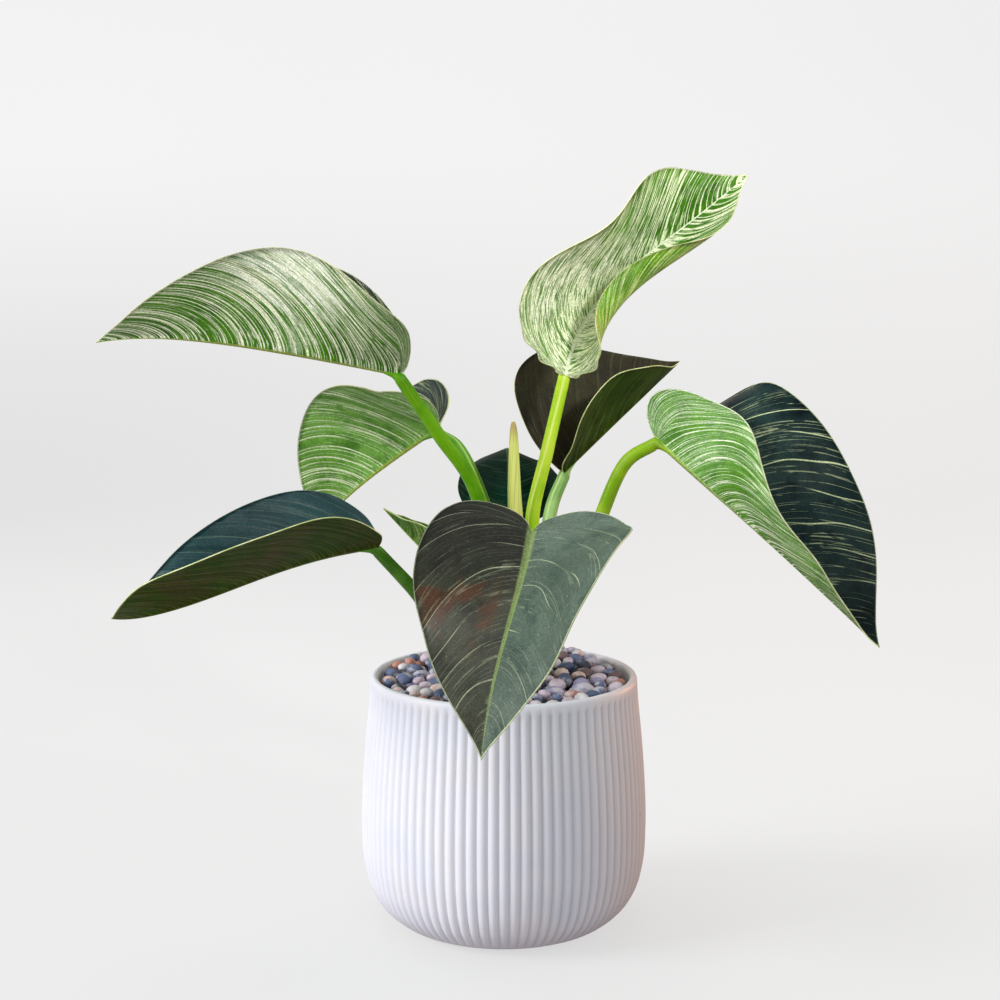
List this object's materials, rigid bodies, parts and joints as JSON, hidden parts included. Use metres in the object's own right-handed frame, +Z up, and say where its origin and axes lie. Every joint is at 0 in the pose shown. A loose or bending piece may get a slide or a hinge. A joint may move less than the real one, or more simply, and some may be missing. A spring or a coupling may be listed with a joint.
{
  "type": "potted philodendron birkin",
  "caption": "Houseplant with heart-shaped dark green leaves striped in cream, in a round white ribbed ceramic planter topped with river pebbles.",
  "frame": {"origin": "middle of the planter's flat foot", "axes": "+Z up, -Y toward the viewer of the picture, +X to the viewer's right"},
  "size_m": [0.4189, 0.3022, 0.4217],
  "materials": {
    "white_glaze": "satin",
    "potting_soil": "matte",
    "river_pebble": "satin",
    "green_trunk": "matte",
    "leaf_cream_green": "satin",
    "leaf_light_green": "satin",
    "leaf_dark_green": "satin",
    "leaf_spear_yellow": "satin"
  },
  "bodies": {
    "root": {"pot": "white_glaze", "potting_mix": "potting_soil", "pebbles": "river_pebble", "stem": "green_trunk", "leaf_upper_left": "leaf_cream_green", "leaf_middle_left": "leaf_light_green", "leaf_lower_left": "leaf_dark_green", "leaf_upper_right": "leaf_cream_green", "leaf_back_right": "leaf_dark_green", "leaf_right": "leaf_dark_green", "leaf_front": "leaf_dark_green", "leaf_back": "leaf_dark_green", "leaf_small_left": "leaf_light_green", "new_leaf": "leaf_spear_yellow"}
  },
  "joints": []
}
